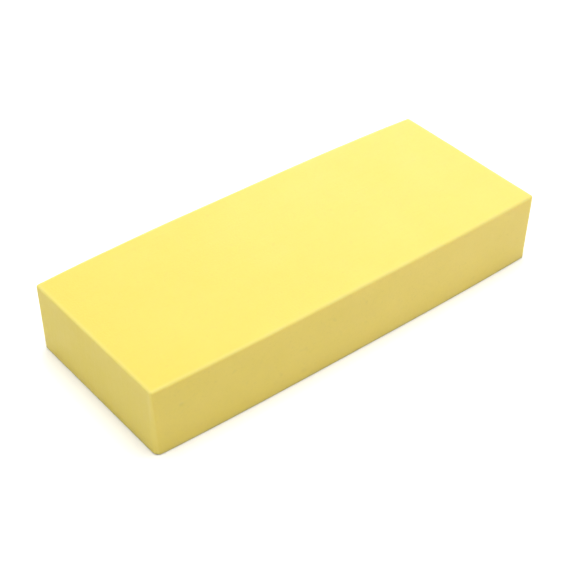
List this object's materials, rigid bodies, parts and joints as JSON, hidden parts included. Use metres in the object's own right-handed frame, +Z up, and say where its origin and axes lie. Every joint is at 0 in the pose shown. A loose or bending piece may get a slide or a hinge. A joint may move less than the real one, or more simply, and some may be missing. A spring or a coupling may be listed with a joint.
{
  "type": "clay bar",
  "caption": "Solid rectangular block of soft detailing clay, with gently bulged long sides, straight cut ends and small rolled edges, lying on its flat base.",
  "frame": {"origin": "middle of the base, on the surface that the bar rests on", "axes": "+X along the bar towards its right-hand cut end, +Y across it towards the back long side, +Z up through its thickness"},
  "size_m": [0.12, 0.0496, 0.02],
  "materials": {
    "clay": "smooth and waxy, between matt and satin"
  },
  "bodies": {
    "root": {"clay_bar": "clay"}
  },
  "joints": []
}
